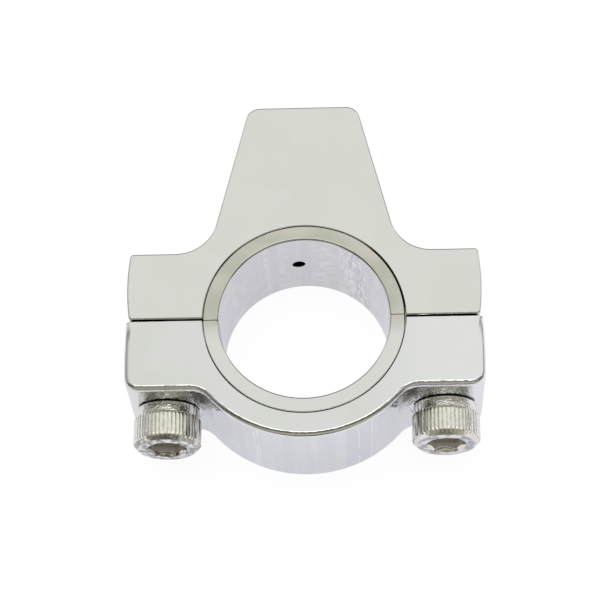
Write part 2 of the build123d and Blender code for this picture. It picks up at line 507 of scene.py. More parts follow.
@dataclass(frozen=True, kw_only=True)
class StrapFinish(MetalFinish):
    """The lower clamp's finish: a painted sheen towards one wing, painted glints in fine lines on the
    strap's outer wall, rims worn on the wings, and painted shade in the corners beside the screw heads.

    Scales are per metre, and places and distances in millimetres.

    Attributes:
        bright: Tint of the painted sheen that lightens one wing.
        painted_sheen_rise: Where it starts and is full along X.
        line: Tint of the painted glints, fine bright lines along the strap's outer wall.
        line_places: Place of each line along X.
        line_width: Width of a line.
        line_scale: Scale at which a line wanders and breaks off.
        line_wander: Distance by which it wanders.
        line_rise: Levels of a noise between which a broken line comes back.
        corner_shade: Tint of the painted shade in the corners between the strap and the screw heads.
        corner_shade_x: Distance of the shade's middle from the middle of the bracket.
        corner_shade_y: Place of its middle on the Y axis.
        corner_shade_rise: Distance from its middle at which it starts and is full.
        corner_shade_front: Where it starts and is full along the bore.
        corner_shade_scale: Scale at which its border is ragged.
        corner_shade_ragged: Distance by which its border is ragged.
        rim_rises: Tilt towards the front or back at which the rounded rim starts and is full, first from
            the walls and then from the flat faces.
        rim_scale: Scale of the unevenness along the rim.
        rim_share: Height of that unevenness on the strap as a share of the waves.
        wing_share: The same on the undersides of the wings.
        wing_haze: Roughness that is added along the rims there.
        wing_rise: Distance from the middle at which a wing starts and is full.
        wing_low: Place on the Y axis at which its underside starts and is full.
    """

    bright: Color = (0.93, 0.93, 0.945, 1.0)
    painted_sheen_rise: Rise = (9.0, 19.0)
    line: Color = grey(1.0)
    line_places: tuple[float, ...] = (-7.5, -7.0, 7.8, 9.7)
    line_width: float = 0.16
    line_scale: float = 1000.0 / 3
    line_wander: float = 1.12
    line_rise: Rise = (0.62, 0.5)
    corner_shade: Color = (0.16, 0.155, 0.16, 1.0)
    corner_shade_x: float = SCREW_X - 4.85
    corner_shade_y: float = BEARING - 0.9
    corner_shade_rise: Rise = (3.0, 1.8)
    corner_shade_front: Rise = (3.0, 5.0)
    corner_shade_scale: float = 1000.0
    corner_shade_ragged: float = 2.0
    rim_rises: tuple[Rise, Rise] = ((0.05, 0.3), (0.995, 0.96))
    rim_scale: float = 1100.0
    rim_share: float = 0.2
    wing_share: float = 0.45
    wing_haze: float = 0.22
    wing_rise: Rise = (9.0, 13.0)
    wing_low: Rise = (BEARING + 2.1, BEARING + 0.7)

    def _tint(self, surface: Surface) -> Socket:
        """Tint the metal, paint a sheen on one wing, paint the glint lines and paint shade in the corners.

        Args:
            surface: The material's wiring.

        Returns:
            The colour's socket.
        """
        tint = super()._tint(surface)
        # Painted sheen: the wing on the right is lightened towards its end.
        tint = surface.mix(surface.span(surface.x, *self.painted_sheen_rise), tint, self.bright)
        # Painted glints: fine white lines along the strap's outer wall.
        for x in self.line_places:
            tint = surface.mix(self._glint_line(surface, x), tint, self.line)
        # Painted shade: the corners between the strap and the screw heads are darkened.
        return surface.mix(self._corner_shade(surface), tint, self.corner_shade)

    def _glint_line(self, surface: Surface, x: float) -> Value:
        """Mark one fine, broken line of painted glint along the strap's outer wall.

        Args:
            surface: The material's wiring.
            x: Place of the line along X.

        Returns:
            The mask's socket.
        """
        grain = surface.noise(surface.place, self.line_scale, detail=4.0)
        off = surface.uneven(surface.math("SUBTRACT", surface.x, x), grain, self.line_wander)
        line = surface.span(surface.size(off), self.line_width, 0.0)
        return surface.product(line, surface.span(grain, *self.line_rise), surface.walls)

    def _corner_shade(self, surface: Surface) -> Value:
        """Mark the painted shade in the corners between the strap and the heads.

        Args:
            surface: The material's wiring.

        Returns:
            The mask's socket.
        """
        across = surface.math("SUBTRACT", surface.size(surface.x), self.corner_shade_x)
        away = surface.reach(across, surface.math("SUBTRACT", surface.y, self.corner_shade_y))
        grain = surface.noise(surface.place, self.corner_shade_scale, detail=3.0)
        ragged = surface.math("MULTIPLY_ADD", grain, self.corner_shade_ragged, away)
        near = surface.span(ragged, *self.corner_shade_rise)
        return surface.product(near, surface.span(surface.z, *self.corner_shade_front), surface.walls)

    def _rim(self, surface: Surface) -> Value:
        """Mark the rounded rim, between the walls and the flat faces."""
        tilt = surface.size(surface.add("SeparateXYZ", {0: surface.normal}).outputs["Z"])
        return surface.product(*(surface.span(tilt, *rise) for rise in self.rim_rises))

    def _wing(self, surface: Surface) -> Value:
        """Mark the undersides of both wings."""
        wide = surface.span(surface.size(surface.x), *self.wing_rise)
        return surface.product(wide, surface.span(surface.y, *self.wing_low))

    def _roughness(self, surface: Surface) -> Socket:
        """Haze the metal as elsewhere, and more along the rims of the wings."""
        worn = surface.product(self._rim(surface), self._wing(surface))
        return surface.math("MULTIPLY_ADD", worn, self.wing_haze, super()._roughness(surface))

    def _height(self, surface: Surface) -> Socket:
        """Add the unevenness that hand polishing leaves along the rounded rim.

        Args:
            surface: The material's wiring.

        Returns:
            The height's socket.
        """
        more = self.wing_share - self.rim_share
        share = surface.math("MULTIPLY_ADD", self._wing(surface), more, self.rim_share)
        grain = surface.noise(surface.place, self.rim_scale, detail=3.0)
        rim = surface.product(self._rim(surface), share)
        return surface.uneven(super()._height(surface), grain, rim)

    def _rough_mask(self, surface: Surface) -> Value:
        """Mark the rough undersides of the wings, and no part of the flat faces."""
        return surface.product(super()._rough_mask(surface), surface.walls)


@dataclass(frozen=True, kw_only=True)
class TurnedSleeveFinish(MetalFinish):
    """The sleeve's finish: stained end faces, cleaner on the lower half, round a bore with chatter marks.

    Scales are per metre, places and distances in millimetres, and turns in degrees from the X axis.

    Attributes:
        end_first: Tint of the upper half's end faces.
        end_second: Tint that they shift to.
        end_scale: Scale of the shift.
        end_detail: Number of its finer levels.
        end_face: Distance from the middle past which the surface belongs to an end face.
        stain_rise: Place on the Y axis at which the stains of the end faces start and are full.
        chatter_rises: Where the patch of chatter marks starts and is full along X, from either side.
        chatter_upper: Where it starts and is full on the Y axis.
        chatter_slant: How far it shifts along X for each step along the bore.
        chatter_scale: Scale of the marks.
        chatter_stretch: How far they draw out along the bore: less is longer.
        chatter_height: Height of the marks as a share of the waves.
        chatter_shade: Tint between the marks, a painted shade.
        chatter_glint: Tint of the marks, a painted highlight.
        gap_shade: Tint of the painted shade in the gap at the seat.
        gap_shade_radius: Distance from the axis past which it lies.
        gap_shade_turn: Direction in which it lies.
        gap_shade_rise: Turn away from that direction at which it starts and is full.
    """

    end_first: Color = (0.60, 0.615, 0.53, 1.0)
    end_second: Color = (0.73, 0.695, 0.635, 1.0)
    end_scale: float = 220.0
    end_detail: float = 4.0
    end_face: float = FACE_Z - 0.1
    stain_rise: Rise = (-3.5, 0.0)
    chatter_rises: tuple[Rise, Rise] = ((4.9, 7.65), (10.4, 7.65))
    chatter_upper: Rise = (0.0, 4.0)
    chatter_slant: float = 0.09
    chatter_scale: float = 3600.0
    chatter_stretch: float = 0.14
    chatter_height: float = 0.6
    chatter_shade: Color = grey(0.66)
    chatter_glint: Color = grey(1.0)
    gap_shade: Color = grey(0.02)
    gap_shade_radius: float = SLEEVE_RADIUS - 0.18
    gap_shade_turn: float = 22.0
    gap_shade_rise: Rise = (32.0, 22.5)

    def _tint(self, surface: Surface) -> Socket:
        """Tint the walls like plain metal, give the chatter marks painted highlights and shade, stain the
        end faces and paint shade in the gap at the seat.

        Args:
            surface: The material's wiring.

        Returns:
            The colour's socket.
        """
        # The chatter marks are real bumps; their light and dark tints are painted highlights and shade.
        marked = surface.mix(self._chatter(surface), self.chatter_shade, self.chatter_glint)
        wall = surface.mix(self._chatter_patch(surface), super()._tint(surface), marked)
        tints = {"First": self.end_first, "Second": self.end_second}
        stains = {"Scale": self.end_scale, "Detail": self.end_detail, **tints}
        stained = surface.group(surface.groups.clouds, stains).outputs["Color"]
        end_tint = surface.mix(surface.span(surface.y, *self.stain_rise), self.first, stained)
        end = surface.math("GREATER_THAN", surface.size(surface.z), self.end_face)
        # Painted shade: a dark line along the gap between the sleeve and its seat.
        return surface.mix(self._gap_shade(surface), surface.mix(end, wall, end_tint), self.gap_shade)

    def _gap_shade(self, surface: Surface) -> Value:
        """Mark the painted shade in the gap between the sleeve and its seat, towards one side.

        Args:
            surface: The material's wiring.

        Returns:
            The mask's socket.
        """
        turn = surface.math("ARCTAN2", surface.y, surface.x)
        away = surface.size(surface.math("SUBTRACT", turn, math.radians(self.gap_shade_turn)))
        aimed = surface.span(away, *(math.radians(limit) for limit in self.gap_shade_rise))
        reach = surface.reach(surface.x, surface.y)
        return surface.product(aimed, surface.math("GREATER_THAN", reach, self.gap_shade_radius))

    def _height(self, surface: Surface) -> Socket:
        """Add the chatter marks to the right side of the bore."""
        share = surface.product(self._chatter_patch(surface), self.chatter_height)
        return surface.uneven(super()._height(surface), self._chatter(surface), share)

    def _chatter(self, surface: Surface) -> Socket:
        """Give the pattern of the chatter marks."""
        marks = {"Scale": self.chatter_scale, "Stretch": self.chatter_stretch}
        return surface.group(surface.groups.streaks, {"Normal": surface.normal, **marks}).outputs["Streak"]

    def _chatter_patch(self, surface: Surface) -> Value:
        """Mark the patch of the bore that has the chatter marks.

        Args:
            surface: The material's wiring.

        Returns:
            The mask's socket.
        """
        across = surface.math("MULTIPLY_ADD", surface.z, self.chatter_slant, surface.x)
        sides = (surface.span(across, *rise) for rise in self.chatter_rises)
        return surface.product(*sides, surface.span(surface.y, *self.chatter_upper))


@dataclass(frozen=True, kw_only=True)
class ScrewFinish(MetalFinish):
    """The screws' finish: a mottled band under painted shade at the bearing face, knurling with painted
    shade on the side next to the strap, a stained bevel and end face, and a dull hexagon.

    Scales are per metre, and places and distances in millimetres, with places on the Y axis. Levels are
    those of a noise between which a stain starts and is full.

    Attributes:
        fade: Distance over which a stain fades out.
        band: Tint of the mottling on the rough band.
        band_scale: Its scale.
        band_levels: Its levels.
        crevice_shade: Tint of the painted shade in the crevice at the bearing face.
        crevice_shade_low: Where the shade starts.
        crevice_shade_high: Where it ends.
        side_shade: Tint of the painted dark reflection of the strap on the side next to it.
        side_shade_rise: Distance from the screw's axis, towards the strap, at which it starts and is full.
        side_shade_scale: Its scale.
        side_shade_stretch: Share of that scale along each axis, which draws it out along the ribs.
        side_shade_levels: Its levels.
        bevel: Tint of the stains on the bevel between the knurl and the end face.
        bevel_y: Where the bevel starts.
        bevel_levels: Levels of its stains.
        end: Tint of the stains on the end face.
        end_y: Place below which the surface belongs to the end face.
        end_scale: Scale of the stains on the end face and the bevel.
        end_levels: Levels of the stains on the end face.
        socket: Tint deep inside the sockets.
        socket_rise: Where that tint starts and is full.
        socket_lip: Where the polished lip of the sockets turns into the dull inside.
        socket_radius: Radius of the sockets.
        socket_roughness: Roughness inside the sockets.
        socket_metal: Share of bare metal inside the sockets, the rest being dull oxide.
    """

    fade: float = 0.08
    band: Color = (0.84, 0.82, 0.77, 1.0)
    band_scale: float = 1600.0
    band_levels: Rise = (0.62, 0.42)
    crevice_shade: Color = grey(0.02)
    crevice_shade_low: float = BEARING - 0.17
    crevice_shade_high: float = BEARING
    side_shade: Color = (0.16, 0.155, 0.12, 1.0)
    side_shade_rise: Rise = (1.95, 4.55)
    side_shade_scale: float = 3200.0
    side_shade_stretch: tuple[float, float, float] = (1.0, 0.08, 1.0)
    side_shade_levels: Rise = (0.56, 0.44)
    bevel: Color = (0.42, 0.39, 0.35, 1.0)
    bevel_y: float = HEAD_END + 0.5
    bevel_levels: Rise = (0.66, 0.5)
    end: Color = (0.32, 0.33, 0.36, 1.0)
    end_y: float = HEAD_END + 0.05
    end_scale: float = 1150.0
    end_levels: Rise = (0.44, 0.57)
    socket: Color = (0.64, 0.60, 0.57, 1.0)
    socket_rise: Rise = (HEAD_END + 1.1, HEAD_END + 1.5)
    socket_lip: Rise = (HEAD_END + 0.55, HEAD_END + 0.75)
    socket_radius: float = 2.95
    socket_roughness: float = 0.4
    socket_metal: float = 0.6

    def _metallic(self, surface: Surface) -> Value:
        """Leave dull oxide inside the sockets."""
        return surface.math("MULTIPLY_ADD", self._inside(surface), self.socket_metal - 1.0, 1.0)

    def _tint(self, surface: Surface) -> Socket:
        """Tint the metal, and lay the stains and painted shade over it one by one.

        Args:
            surface: The material's wiring.

        Returns:
            The colour's socket.
        """
        tint = super()._tint(surface)
        for mask, stain in self._stains(surface):
            tint = surface.mix(mask, tint, stain)
        return tint

    def _stains(self, surface: Surface) -> tuple[tuple[Value, Color], ...]:
        """Mark every stain and painted shade.

        Args:
            surface: The material's wiring.

        Returns:
            The mask's socket and the tint of each stain, the lowest first.
        """
        grain = surface.noise(surface.place, self.band_scale, detail=2.0)
        mottle = surface.span(grain, *self.band_levels)
        drawn = surface.stretched(surface.place, self.side_shade_stretch)
        fibres = surface.noise(drawn, self.side_shade_scale, detail=1.0)
        streaks = surface.span(fibres, *self.side_shade_levels)
        facing = surface.span(self._inward(surface), *self.side_shade_rise)
        above_bevel = surface.span(surface.y, self.bevel_y, self.bevel_y + self.fade)
        below_knurl = surface.span(surface.y, self.bevel_y + self.fade, self.bevel_y)
        spots = surface.noise(surface.place, self.end_scale, detail=3.0)
        bevel_spots = surface.span(spots, *self.bevel_levels)
        above_end = surface.math("GREATER_THAN", surface.y, self.end_y)
        end = surface.math("LESS_THAN", surface.y, self.end_y)
        deep = surface.span(surface.y, *self.socket_rise)
        return (
            (surface.product(mottle, self._rough_mask(surface)), self.band),
            # Painted shade: dark streaks on the knurl's side next to the strap, for the strap's dark
            # reflection.
            (surface.product(streaks, facing, above_bevel), self.side_shade),
            (surface.product(above_end, below_knurl, bevel_spots), self.bevel),
            (surface.product(surface.span(spots, *self.end_levels), end), self.end),
            (surface.product(deep, self._inside(surface)), self.socket),
            # Painted shade in the crevice between the head and the wing.
            (surface.window(surface.y, self.crevice_shade_low, self.crevice_shade_high, self.fade), self.crevice_shade),
        )

    def _roughness(self, surface: Surface) -> Socket:
        """Haze the metal as elsewhere, and leave the hexagon dull from forging."""
        dull = surface.product(self._inside(surface), self.socket_roughness)
        return surface.math("MAXIMUM", super()._roughness(surface), dull)

    def _inward(self, surface: Surface) -> Socket:
        """Measure the distance from a screw's axis along X, towards the strap."""
        return surface.math("SUBTRACT", SCREW_X, surface.size(surface.x))

    def _inside(self, surface: Surface) -> Value:
        """Mark the inside of the sockets.

        Args:
            surface: The material's wiring.

        Returns:
            The mask's socket.
        """
        radius = surface.reach(self._inward(surface), surface.z)
        near = surface.math("LESS_THAN", radius, self.socket_radius)
        return surface.product(near, surface.span(surface.y, *self.socket_lip))


CLAMP_CHROME = MetalFinish(
    name="clamp_chrome",
    first=(0.865, 0.87, 0.835, 1.0),
    second=(0.845, 0.85, 0.815, 1.0),
    cloud_scale=160.0,
    streak=(0.79, 0.79, 0.81, 1.0),
)
LOWER_CHROME = StrapFinish(
    name="lower_clamp_chrome",
    first=(0.845, 0.855, 0.815, 1.0),
    second=(0.885, 0.88, 0.895, 1.0),
    cloud_scale=140.0,
    streak=(0.80, 0.81, 0.845, 1.0),
    rough=RoughBand(low=BEARING - 1.6, high=BEARING + 0.1, scale=2000.0, share=0.8),
)
SLEEVE_CHROME = TurnedSleeveFinish(
    name="sleeve_chrome",
    first=(0.86, 0.86, 0.84, 1.0),
    second=(0.775, 0.775, 0.765, 1.0),
    cloud_scale=650.0,
    streak=(0.755, 0.755, 0.77, 1.0),
    seam_half=0.1,
    clean=0.05,
    hazy=0.12,
    mark_scale=400.0,
    wave_scale=120.0,
    fine_share=0.06,
)
SCREW_NICKEL = ScrewFinish(
    name="screw_nickel",
    first=(0.97, 0.955, 0.90, 1.0),
    second=(0.88, 0.86, 0.80, 1.0),
    cloud_scale=1500.0,
    streak=(0.84, 0.82, 0.77, 1.0),
    seam_half=0.0,
    clean=0.06,
    hazy=0.16,
    mark_scale=900.0,
    wave_scale=900.0,
    fine_scale=4000.0,
    fine_share=0.3,
    wave_height=0.05,
    rough=RoughBand(low=BEARING - 1.65, high=BEARING + 0.2, scale=3200.0, share=1.8),
)
RIGHT_NICKEL = replace(
    SCREW_NICKEL,
    name="right_screw_nickel",
    band=(0.92, 0.90, 0.85, 1.0),
    bevel=(0.90, 0.85, 0.78, 1.0),
    end=(0.46, 0.47, 0.50, 1.0),
    end_scale=900.0,
)


def mark_sharp_edges(mesh: bmesh.types.BMesh, angle: float) -> None:
    """Shade a mesh smoothly up to an angle and sharply past it.

    Args:
        mesh: The mesh.
        angle: Largest angle between two faces that shade as one, in degrees.
    """
    limit = math.radians(angle)
    for face in mesh.faces:
        face.smooth = True
    for edge in mesh.edges:
        edge.smooth = len(edge.link_faces) == 2 and edge.calc_face_angle(0.0) < limit


def finished_piece(
    node: str, suffix: str, mesh: bmesh.types.BMesh, material: bpy.types.Material
) -> bpy.types.Object:
    """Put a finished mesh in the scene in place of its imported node.

    Args:
        node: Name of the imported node, with which the piece's name starts.
        suffix: Word with which it ends.
        mesh: The mesh, in the frame's own place. It is used up.
        material: The piece's material.

    Returns:
        The piece.
    """
    data = bpy.data.meshes.new(node)
    mesh.to_mesh(data)
    mesh.free()
    data.materials.append(material)
    piece = bpy.data.objects.new(f"{node}_{suffix}", data)
    bpy.context.scene.collection.objects.link(piece)
    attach(piece, BODY)
    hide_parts(node)
    return piece


def carved(solid: bmesh.types.BMesh, tool: bmesh.types.BMesh) -> bmesh.types.BMesh:
    """Cut one closed mesh out of another.

    Args:
        solid: The mesh to cut. It is used up.
        tool: The mesh that is cut away. It is used up.

    Returns:
        What is left.
    """
    helpers = []
    for part in (solid, tool):
        data = bpy.data.meshes.new("carving")
        part.to_mesh(data)
        part.free()
        helper = bpy.data.objects.new("carving", data)
        bpy.context.scene.collection.objects.link(helper)
        helpers.append(helper)
    cut = helpers[0].modifiers.new("cut", "BOOLEAN")
    cut.operation = "DIFFERENCE"
    cut.solver = "EXACT"
    cut.object = helpers[1]
    evaluated = helpers[0].evaluated_get(bpy.context.evaluated_depsgraph_get())
    result = bmesh.new()
    result.from_mesh(evaluated.data)
    for helper in helpers:
        data = helper.data
        bpy.data.objects.remove(helper)
        bpy.data.meshes.remove(data)
    return result


def ring(mesh: bmesh.types.BMesh, points: Iterable[Vector]) -> Ring:
    """Add a closed ring of vertices at points in metres."""
    return [mesh.verts.new(point) for point in points]


def skin(mesh: bmesh.types.BMesh, rings: Sequence[Ring]) -> None:
    """Join rings of equal count with faces, one ring to the next.

    Args:
        mesh: The mesh.
        rings: The rings in order.
    """
    for near, far in zip(rings, rings[1:]):
        for i, vertex in enumerate(near):
            j = (i + 1) % len(near)
            mesh.faces.new((vertex, near[j], far[j], far[i]))


@dataclass(frozen=True)
class Thread:
    """A 60 degree screw thread. Sizes are in millimetres.

    Attributes:
        pitch: Distance from crest to crest.
        crest: Radius at the crest.
        depth: Depth from crest to root.
        columns: Points round the thread.
        rows_per_pitch: Rings for each pitch.
    """

    pitch: float
    crest: float
    depth: float
    columns: int = 64
    rows_per_pitch: int = 8

    def radius(self, along: float, turn: float) -> float:
        """Give the radius at one place.

        Args:
            along: Place along the axis.
            turn: Share of a turn about the axis.

        Returns:
            The radius.
        """
        crest_half = self.pitch / 16
        flank = math.tan(math.radians(30))
        across = abs((along / self.pitch - turn) % 1.0 - 0.5) * self.pitch
        return self.crest - min(self.depth, max(0.0, across - crest_half) / flank)

    def wall(
        self,
        mesh: bmesh.types.BMesh,
        length: float,
        radius: Callable[[float, float], float],
        place: Callable[[float, float, float], Vector],
    ) -> list[Ring]:
        """Build a threaded wall.

        Args:
            mesh: The mesh.
            length: Length of the wall.
            radius: Gives the radius at a place along the axis and a share of a turn.
            place: Gives the point at an angle, a radius and a place along the axis.

        Returns:
            The wall's rings in order.
        """
        rows = round(length / self.pitch * self.rows_per_pitch)
        turns = [column / self.columns for column in range(self.columns)]
        rings = []
        for row in range(rows + 1):
            along = length * row / rows
            points = (place(2 * math.pi * turn, radius(along, turn), along) for turn in turns)
            rings.append(ring(mesh, points))
        skin(mesh, rings)
        return rings


@dataclass(frozen=True)
class Rim:
    """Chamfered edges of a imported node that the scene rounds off. Sizes are in millimetres.

    Attributes:
        chamfer: Size of the chamfer.
        nearest: Least distance of the edges from the bore's axis.
        farthest: Greatest distance of the edges from the bore's axis.
        lowest: Lowest place of the edges on the Y axis.
        highest: Highest place of the edges on the Y axis.
        least_angle: Least angle between the faces at an edge, in degrees.
        slack: Depth to which the chamfer is looked for, as a share of its size.
        inset: Size of the rounding, as a share of the most that the chamfer has room for.
    """

    chamfer: float
    nearest: float = 0.0
    farthest: float = math.inf
    lowest: float = -math.inf
    highest: float = math.inf
    least_angle: float = 20.0
    slack: float = 1.1
    inset: float = 0.98

    def holds(self, edge: bmesh.types.BMEdge) -> bool:
        """Tell whether an edge is one of the two borders of the chamfer.

        Args:
            edge: The edge.

        Returns:
            True for a border.
        """
        if edge.calc_face_angle(0.0) < math.radians(self.least_angle):
            return False
        for vertex in edge.verts:
            end = vertex.co / MM
            reach = math.hypot(end.x, end.y)
            if not self.nearest < reach < self.farthest or not self.lowest < end.y < self.highest:
                return False
            if FACE_Z - abs(end.z) > self.chamfer * self.slack:
                return False
        return True


@dataclass(frozen=True)
class RoundedNode:
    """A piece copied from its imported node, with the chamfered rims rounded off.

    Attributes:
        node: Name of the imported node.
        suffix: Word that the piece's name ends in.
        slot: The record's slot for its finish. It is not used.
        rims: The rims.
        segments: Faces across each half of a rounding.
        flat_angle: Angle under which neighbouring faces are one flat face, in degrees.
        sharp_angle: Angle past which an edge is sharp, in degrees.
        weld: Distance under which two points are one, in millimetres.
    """

    node: str
    suffix: str
    slot: Slot
    rims: tuple[Rim, ...]
    segments: int = 5
    flat_angle: float = 0.4
    sharp_angle: float = 30.0
    weld: float = 0.001

    def build(
        self, material: bpy.types.Material, tool: bmesh.types.BMesh | None = None
    ) -> bpy.types.Object:
        """Build the piece and put it in place of its node.

        Args:
            material: The finish.
            tool: A closed mesh that is cut away from it. It is used up.

        Returns:
            The piece.
        """
        mesh = bmesh.new()
        mesh.from_mesh(frame["nodes"][self.node].data)
        bmesh.ops.remove_doubles(mesh, verts=mesh.verts, dist=self.weld * MM)
        bmesh.ops.dissolve_limit(
            mesh, angle_limit=math.radians(self.flat_angle), verts=mesh.verts, edges=mesh.edges
        )
        for rim in self.rims:
            self._round(mesh, rim)
        if tool is not None:
            mesh = carved(mesh, tool)
        mark_sharp_edges(mesh, self.sharp_angle)
        piece = finished_piece(self.node, self.suffix, mesh, material)
        weights = piece.modifiers.new("weighted_normals", "WEIGHTED_NORMAL")
        weights.keep_sharp = True
        return piece

    def _round(self, mesh: bmesh.types.BMesh, rim: Rim) -> None:
        """Turn a chamfer into a rounding that touches the middle of the chamfer.

        Args:
            mesh: The piece's mesh.
            rim: The rim.
        """
        bmesh.ops.bevel(
            mesh,
            geom=[edge for edge in mesh.edges if rim.holds(edge)],
            offset=rim.chamfer * rim.inset / math.sqrt(2) * MM,
            offset_type="OFFSET",
            affect="EDGES",
            segments=self.segments,
            profile=0.5,
            clamp_overlap=False,
        )
        low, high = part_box(self.node)
        for vertex in mesh.verts:
            for axis in range(3):
                vertex.co[axis] = min(max(vertex.co[axis], low[axis]), high[axis])


@dataclass(frozen=True)
class Clamp:
    """Both halves of the clamp, with the tapped hole for the mirror stem. Sizes are in millimetres.

    Attributes:
        seat_edge: Width of the ring round the sleeve in which edges belong to the seat and stay as they are.
        upper_rim: Chamfer of the upper half.
        lower_rim: Chamfer of the lower half.
        seam_rim: Chamfer of the lower half beside the seam.
        stem: Thread of the stem hole, with its root just inside the drilled hole.
        stem_length: Length of the full thread below the tab's top.
        stem_mouth: Radius of the countersink at the tab's top.
        cutter_lead: Length by which the thread's cutter stands out of the tab.
    """

    seat_edge: float = 0.4
    upper_rim: float = 0.2
    lower_rim: float = 0.5
    seam_rim: float = 0.15
    stem: Thread = Thread(pitch=1.25, crest=5.0, depth=0.66, columns=72)
    stem_length: float = 12.5
    stem_mouth: float = 5.25
    cutter_lead: float = 0.6

    def build(self, groups: Groups) -> list[bpy.types.Object]:
        """Build both halves.

        Args:
            groups: The shared node groups.

        Returns:
            The upper and the lower half.
        """
        outside = SLEEVE_RADIUS + self.seat_edge
        seam = Rim(self.seam_rim, nearest=outside)
        below_seam = SEAM_Y - seam.chamfer * seam.slack
        upper_rims = (Rim(self.upper_rim, nearest=outside),)
        lower_rims = (
            Rim(self.lower_rim, nearest=outside, highest=below_seam),
            replace(seam, lowest=below_seam),
        )
        upper = RoundedNode("upper_clamp", "polished", Slot.CLAMP, upper_rims)
        lower = RoundedNode("lower_clamp", "polished", Slot.CLAMP, lower_rims)
        return [
            upper.build(CLAMP_CHROME.build(groups), self._stem_cutter()),
            lower.build(LOWER_CHROME.build(groups)),
        ]

    def _stem_cutter(self) -> bmesh.types.BMesh:
        """Build the closed mesh that cuts the stem hole's thread and countersink.

        Returns:
            The cutter.
        """
        top = box_mm("upper_clamp")[1].y + self.cutter_lead
        length = self.cutter_lead + self.stem_length
        root = self.stem.crest - self.stem.depth

        def radius(along: float, turn: float) -> float:
            """Run the thread out at the bottom, and widen it to the countersink at the top.

            Args:
                along: Distance from the cutter's top.
                turn: Share of a turn about the axis.

            Returns:
                The radius.
            """
            run_out = min(1.0, (length - along) / self.stem.pitch)
            threaded = root + run_out * (self.stem.radius(along, turn) - root)
            return max(threaded, self.stem_mouth - (along - self.cutter_lead))

        def place(angle: float, reach: float, along: float) -> Vector:
            """Give a point of the cutter in metres."""
            return Vector((math.cos(angle) * reach, top - along, -math.sin(angle) * reach)) * MM

        mesh = bmesh.new()
        rings = self.stem.wall(mesh, length, radius, place)
        mesh.faces.new(rings[0])
        mesh.faces.new(rings[-1])
        bmesh.ops.recalc_face_normals(mesh, faces=mesh.faces)
        return mesh


@dataclass(frozen=True)
class Sleeve:
    """Both halves of the split sleeve. Sizes are in millimetres.

    Attributes:
        bore_rim: Chamfer at the bore.
        seat_rim: Chamfer at the seat.
        margin: Distance to either side of a chamfer within which its edges are looked for.
    """

    bore_rim: float = 0.2
    seat_rim: float = 0.1
    margin: float = 0.05

    def build(self, groups: Groups) -> list[bpy.types.Object]:
        """Build both halves.

        Args:
            groups: The shared node groups.

        Returns:
            The upper and the lower half.
        """
        bore = bore_radius()
        finish = SLEEVE_CHROME.build(groups)
        rims = tuple(
            Rim(chamfer, nearest=inner - self.margin, farthest=inner + chamfer + self.margin)
            for chamfer, inner in ((self.bore_rim, bore), (self.seat_rim, SLEEVE_RADIUS - self.seat_rim))
        )
        nodes = ("upper_sleeve", "lower_sleeve")
        return [RoundedNode(node, "turned", Slot.SLEEVE, rims).build(finish) for node in nodes]


